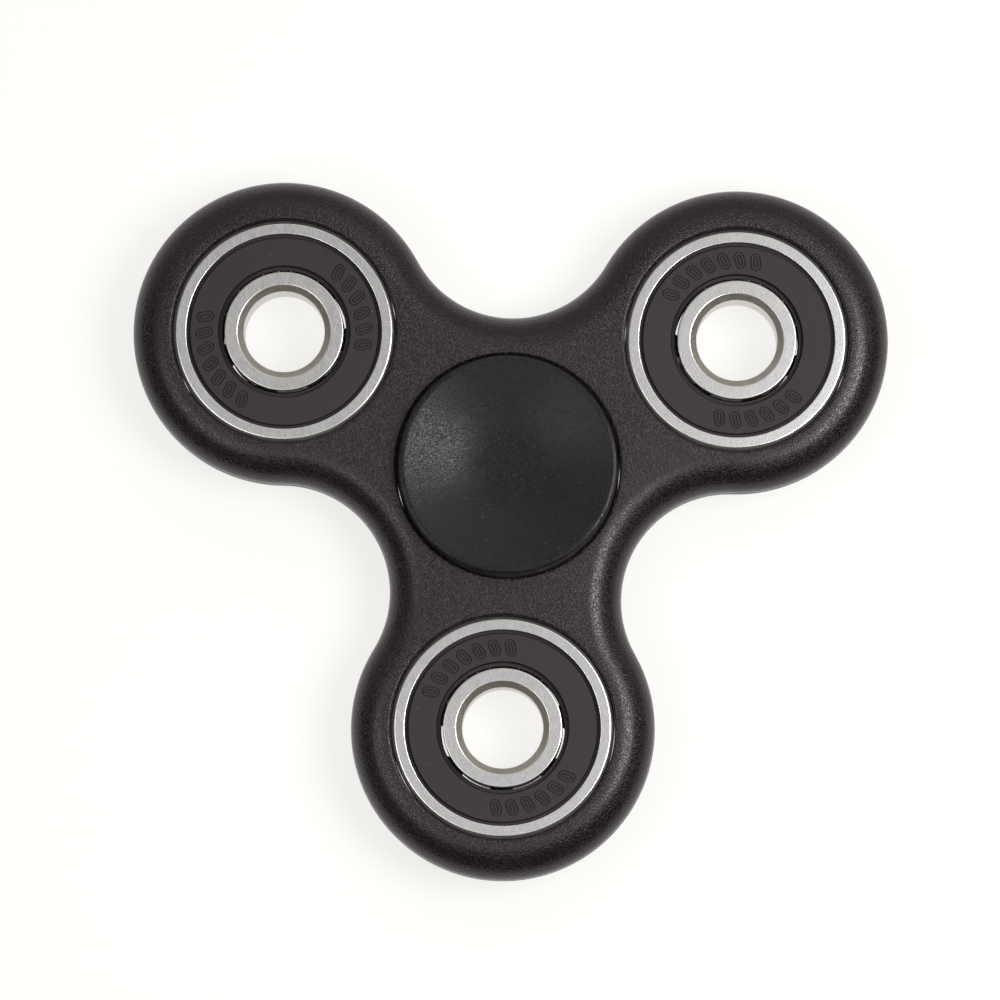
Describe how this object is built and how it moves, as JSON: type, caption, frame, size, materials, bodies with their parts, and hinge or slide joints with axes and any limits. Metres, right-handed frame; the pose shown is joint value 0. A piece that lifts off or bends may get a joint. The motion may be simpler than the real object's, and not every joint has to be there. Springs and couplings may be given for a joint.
{
  "type": "fidget spinner",
  "caption": "Flat lobed hand spinner: a moulded black body with ball bearings in its lobes that turns on a middle ball bearing held between dished finger caps.",
  "frame": {"origin": "on the spin axis, halfway through the thickness, which is also the centroid", "axes": "+Z along the spin axis towards the top cap; -Y towards the front lobe, with the other lobes 120 degrees to each side; +X to the right"},
  "size_m": [0.0746, 0.0687, 0.012],
  "materials": {
    "body_abs": "satin",
    "cap_abs": "satin",
    "bearing_steel": "satin",
    "ball_steel": "polished",
    "cage_nylon": "satin",
    "seal_rubber": "matte"
  },
  "bodies": {
    "finger_hub": {"top_cap": "cap_abs", "bottom_cap": "cap_abs", "centre_inner_ring": "bearing_steel"},
    "spinner": {"body": "body_abs", "centre_outer_ring": "bearing_steel", "right_outer_ring": "bearing_steel", "left_outer_ring": "bearing_steel", "front_outer_ring": "bearing_steel", "centre_top_seal": "seal_rubber", "centre_bottom_seal": "seal_rubber", "right_top_seal": "seal_rubber", "right_bottom_seal": "seal_rubber", "left_top_seal": "seal_rubber", "left_bottom_seal": "seal_rubber", "front_top_seal": "seal_rubber", "front_bottom_seal": "seal_rubber"},
    "centre_ball_cage": {"centre_cage": "cage_nylon"},
    "centre_rolling_ball_1": {"centre_ball_1": "ball_steel"},
    "centre_rolling_ball_2": {"centre_ball_2": "ball_steel"},
    "centre_rolling_ball_3": {"centre_ball_3": "ball_steel"},
    "centre_rolling_ball_4": {"centre_ball_4": "ball_steel"},
    "centre_rolling_ball_5": {"centre_ball_5": "ball_steel"},
    "centre_rolling_ball_6": {"centre_ball_6": "ball_steel"},
    "centre_rolling_ball_7": {"centre_ball_7": "ball_steel"},
    "right_inner_race": {"right_inner_ring": "bearing_steel"},
    "right_ball_cage": {"right_cage": "cage_nylon"},
    "right_rolling_ball_1": {"right_ball_1": "ball_steel"},
    "right_rolling_ball_2": {"right_ball_2": "ball_steel"},
    "right_rolling_ball_3": {"right_ball_3": "ball_steel"},
    "right_rolling_ball_4": {"right_ball_4": "ball_steel"},
    "right_rolling_ball_5": {"right_ball_5": "ball_steel"},
    "right_rolling_ball_6": {"right_ball_6": "ball_steel"},
    "right_rolling_ball_7": {"right_ball_7": "ball_steel"},
    "left_inner_race": {"left_inner_ring": "bearing_steel"},
    "left_ball_cage": {"left_cage": "cage_nylon"},
    "left_rolling_ball_1": {"left_ball_1": "ball_steel"},
    "left_rolling_ball_2": {"left_ball_2": "ball_steel"},
    "left_rolling_ball_3": {"left_ball_3": "ball_steel"},
    "left_rolling_ball_4": {"left_ball_4": "ball_steel"},
    "left_rolling_ball_5": {"left_ball_5": "ball_steel"},
    "left_rolling_ball_6": {"left_ball_6": "ball_steel"},
    "left_rolling_ball_7": {"left_ball_7": "ball_steel"},
    "front_inner_race": {"front_inner_ring": "bearing_steel"},
    "front_ball_cage": {"front_cage": "cage_nylon"},
    "front_rolling_ball_1": {"front_ball_1": "ball_steel"},
    "front_rolling_ball_2": {"front_ball_2": "ball_steel"},
    "front_rolling_ball_3": {"front_ball_3": "ball_steel"},
    "front_rolling_ball_4": {"front_ball_4": "ball_steel"},
    "front_rolling_ball_5": {"front_ball_5": "ball_steel"},
    "front_rolling_ball_6": {"front_ball_6": "ball_steel"},
    "front_rolling_ball_7": {"front_ball_7": "ball_steel"}
  },
  "joints": [
    {"name": "spinner_spin", "type": "hinge", "parent": "finger_hub", "child": "spinner", "pos_m": [0, 0, 0], "axis": [0, 0, 1], "continuous": true},
    {"name": "centre_cage_orbit", "type": "hinge", "parent": "finger_hub", "child": "centre_ball_cage", "pos_m": [0, 0, 0], "axis": [0, 0, 1], "continuous": true},
    {"name": "centre_ball_1_roll", "type": "hinge", "parent": "centre_ball_cage", "child": "centre_rolling_ball_1", "pos_m": [0.0075, 0, 0], "axis": [0, 0, 1], "continuous": true},
    {"name": "centre_ball_2_roll", "type": "hinge", "parent": "centre_ball_cage", "child": "centre_rolling_ball_2", "pos_m": [0.00468, 0.00586, 0], "axis": [0, 0, 1], "continuous": true},
    {"name": "centre_ball_3_roll", "type": "hinge", "parent": "centre_ball_cage", "child": "centre_rolling_ball_3", "pos_m": [-0.00167, 0.00731, 0], "axis": [0, 0, 1], "continuous": true},
    {"name": "centre_ball_4_roll", "type": "hinge", "parent": "centre_ball_cage", "child": "centre_rolling_ball_4", "pos_m": [-0.00676, 0.00325, 0], "axis": [0, 0, 1], "continuous": true},
    {"name": "centre_ball_5_roll", "type": "hinge", "parent": "centre_ball_cage", "child": "centre_rolling_ball_5", "pos_m": [-0.00676, -0.00325, 0], "axis": [0, 0, 1], "continuous": true},
    {"name": "centre_ball_6_roll", "type": "hinge", "parent": "centre_ball_cage", "child": "centre_rolling_ball_6", "pos_m": [-0.00167, -0.00731, 0], "axis": [0, 0, 1], "continuous": true},
    {"name": "centre_ball_7_roll", "type": "hinge", "parent": "centre_ball_cage", "child": "centre_rolling_ball_7", "pos_m": [0.00468, -0.00586, 0], "axis": [0, 0, 1], "continuous": true},
    {"name": "right_inner_ring_spin", "type": "hinge", "parent": "spinner", "child": "right_inner_race", "pos_m": [0.02234, 0.0129, 0], "axis": [0, 0, 1], "continuous": true},
    {"name": "right_cage_orbit", "type": "hinge", "parent": "spinner", "child": "right_ball_cage", "pos_m": [0.02234, 0.0129, 0], "axis": [0, 0, 1], "continuous": true},
    {"name": "right_ball_1_roll", "type": "hinge", "parent": "right_ball_cage", "child": "right_rolling_ball_1", "pos_m": [0.02884, 0.01665, 0], "axis": [0, 0, 1], "continuous": true},
    {"name": "right_ball_2_roll", "type": "hinge", "parent": "right_ball_cage", "child": "right_rolling_ball_2", "pos_m": [0.02346, 0.02032, 0], "axis": [0, 0, 1], "continuous": true},
    {"name": "right_ball_3_roll", "type": "hinge", "parent": "right_ball_cage", "child": "right_rolling_ball_3", "pos_m": [0.01724, 0.0184, 0], "axis": [0, 0, 1], "continuous": true},
    {"name": "right_ball_4_roll", "type": "hinge", "parent": "right_ball_cage", "child": "right_rolling_ball_4", "pos_m": [0.01486, 0.01234, 0], "axis": [0, 0, 1], "continuous": true},
    {"name": "right_ball_5_roll", "type": "hinge", "parent": "right_ball_cage", "child": "right_rolling_ball_5", "pos_m": [0.01812, 0.0067, 0], "axis": [0, 0, 1], "continuous": true},
    {"name": "right_ball_6_roll", "type": "hinge", "parent": "right_ball_cage", "child": "right_rolling_ball_6", "pos_m": [0.02455, 0.00573, 0], "axis": [0, 0, 1], "continuous": true},
    {"name": "right_ball_7_roll", "type": "hinge", "parent": "right_ball_cage", "child": "right_rolling_ball_7", "pos_m": [0.02933, 0.01016, 0], "axis": [0, 0, 1], "continuous": true},
    {"name": "left_inner_ring_spin", "type": "hinge", "parent": "spinner", "child": "left_inner_race", "pos_m": [-0.02234, 0.0129, 0], "axis": [0, 0, 1], "continuous": true},
    {"name": "left_cage_orbit", "type": "hinge", "parent": "spinner", "child": "left_ball_cage", "pos_m": [-0.02234, 0.0129, 0], "axis": [0, 0, 1], "continuous": true},
    {"name": "left_ball_1_roll", "type": "hinge", "parent": "left_ball_cage", "child": "left_rolling_ball_1", "pos_m": [-0.02884, 0.01665, 0], "axis": [0, 0, 1], "continuous": true},
    {"name": "left_ball_2_roll", "type": "hinge", "parent": "left_ball_cage", "child": "left_rolling_ball_2", "pos_m": [-0.02933, 0.01016, 0], "axis": [0, 0, 1], "continuous": true},
    {"name": "left_ball_3_roll", "type": "hinge", "parent": "left_ball_cage", "child": "left_rolling_ball_3", "pos_m": [-0.02455, 0.00573, 0], "axis": [0, 0, 1], "continuous": true},
    {"name": "left_ball_4_roll", "type": "hinge", "parent": "left_ball_cage", "child": "left_rolling_ball_4", "pos_m": [-0.01812, 0.0067, 0], "axis": [0, 0, 1], "continuous": true},
    {"name": "left_ball_5_roll", "type": "hinge", "parent": "left_ball_cage", "child": "left_rolling_ball_5", "pos_m": [-0.01486, 0.01234, 0], "axis": [0, 0, 1], "continuous": true},
    {"name": "left_ball_6_roll", "type": "hinge", "parent": "left_ball_cage", "child": "left_rolling_ball_6", "pos_m": [-0.01724, 0.0184, 0], "axis": [0, 0, 1], "continuous": true},
    {"name": "left_ball_7_roll", "type": "hinge", "parent": "left_ball_cage", "child": "left_rolling_ball_7", "pos_m": [-0.02346, 0.02032, 0], "axis": [0, 0, 1], "continuous": true},
    {"name": "front_inner_ring_spin", "type": "hinge", "parent": "spinner", "child": "front_inner_race", "pos_m": [0, -0.0258, 0], "axis": [0, 0, 1], "continuous": true},
    {"name": "front_cage_orbit", "type": "hinge", "parent": "spinner", "child": "front_ball_cage", "pos_m": [0, -0.0258, 0], "axis": [0, 0, 1], "continuous": true},
    {"name": "front_ball_1_roll", "type": "hinge", "parent": "front_ball_cage", "child": "front_rolling_ball_1", "pos_m": [0, -0.0333, 0], "axis": [0, 0, 1], "continuous": true},
    {"name": "front_ball_2_roll", "type": "hinge", "parent": "front_ball_cage", "child": "front_rolling_ball_2", "pos_m": [0.00586, -0.03048, 0], "axis": [0, 0, 1], "continuous": true},
    {"name": "front_ball_3_roll", "type": "hinge", "parent": "front_ball_cage", "child": "front_rolling_ball_3", "pos_m": [0.00731, -0.02413, 0], "axis": [0, 0, 1], "continuous": true},
    {"name": "front_ball_4_roll", "type": "hinge", "parent": "front_ball_cage", "child": "front_rolling_ball_4", "pos_m": [0.00325, -0.01904, 0], "axis": [0, 0, 1], "continuous": true},
    {"name": "front_ball_5_roll", "type": "hinge", "parent": "front_ball_cage", "child": "front_rolling_ball_5", "pos_m": [-0.00325, -0.01904, 0], "axis": [0, 0, 1], "continuous": true},
    {"name": "front_ball_6_roll", "type": "hinge", "parent": "front_ball_cage", "child": "front_rolling_ball_6", "pos_m": [-0.00731, -0.02413, 0], "axis": [0, 0, 1], "continuous": true},
    {"name": "front_ball_7_roll", "type": "hinge", "parent": "front_ball_cage", "child": "front_rolling_ball_7", "pos_m": [-0.00586, -0.03048, 0], "axis": [0, 0, 1], "continuous": true}
  ],
  "couplings": [
    {"joint": "centre_cage_orbit", "follows": "spinner_spin", "ratio": 0.6323},
    {"joint": "centre_ball_1_roll", "follows": "spinner_spin", "ratio": 1.7573},
    {"joint": "centre_ball_2_roll", "follows": "spinner_spin", "ratio": 1.7573},
    {"joint": "centre_ball_3_roll", "follows": "spinner_spin", "ratio": 1.7573},
    {"joint": "centre_ball_4_roll", "follows": "spinner_spin", "ratio": 1.7573},
    {"joint": "centre_ball_5_roll", "follows": "spinner_spin", "ratio": 1.7573},
    {"joint": "centre_ball_6_roll", "follows": "spinner_spin", "ratio": 1.7573},
    {"joint": "centre_ball_7_roll", "follows": "spinner_spin", "ratio": 1.7573},
    {"joint": "right_cage_orbit", "follows": "right_inner_ring_spin", "ratio": 0.3677},
    {"joint": "right_ball_1_roll", "follows": "right_inner_ring_spin", "ratio": -1.7573},
    {"joint": "right_ball_2_roll", "follows": "right_inner_ring_spin", "ratio": -1.7573},
    {"joint": "right_ball_3_roll", "follows": "right_inner_ring_spin", "ratio": -1.7573},
    {"joint": "right_ball_4_roll", "follows": "right_inner_ring_spin", "ratio": -1.7573},
    {"joint": "right_ball_5_roll", "follows": "right_inner_ring_spin", "ratio": -1.7573},
    {"joint": "right_ball_6_roll", "follows": "right_inner_ring_spin", "ratio": -1.7573},
    {"joint": "right_ball_7_roll", "follows": "right_inner_ring_spin", "ratio": -1.7573},
    {"joint": "left_cage_orbit", "follows": "left_inner_ring_spin", "ratio": 0.3677},
    {"joint": "left_ball_1_roll", "follows": "left_inner_ring_spin", "ratio": -1.7573},
    {"joint": "left_ball_2_roll", "follows": "left_inner_ring_spin", "ratio": -1.7573},
    {"joint": "left_ball_3_roll", "follows": "left_inner_ring_spin", "ratio": -1.7573},
    {"joint": "left_ball_4_roll", "follows": "left_inner_ring_spin", "ratio": -1.7573},
    {"joint": "left_ball_5_roll", "follows": "left_inner_ring_spin", "ratio": -1.7573},
    {"joint": "left_ball_6_roll", "follows": "left_inner_ring_spin", "ratio": -1.7573},
    {"joint": "left_ball_7_roll", "follows": "left_inner_ring_spin", "ratio": -1.7573},
    {"joint": "front_cage_orbit", "follows": "front_inner_ring_spin", "ratio": 0.3677},
    {"joint": "front_ball_1_roll", "follows": "front_inner_ring_spin", "ratio": -1.7573},
    {"joint": "front_ball_2_roll", "follows": "front_inner_ring_spin", "ratio": -1.7573},
    {"joint": "front_ball_3_roll", "follows": "front_inner_ring_spin", "ratio": -1.7573},
    {"joint": "front_ball_4_roll", "follows": "front_inner_ring_spin", "ratio": -1.7573},
    {"joint": "front_ball_5_roll", "follows": "front_inner_ring_spin", "ratio": -1.7573},
    {"joint": "front_ball_6_roll", "follows": "front_inner_ring_spin", "ratio": -1.7573},
    {"joint": "front_ball_7_roll", "follows": "front_inner_ring_spin", "ratio": -1.7573}
  ]
}
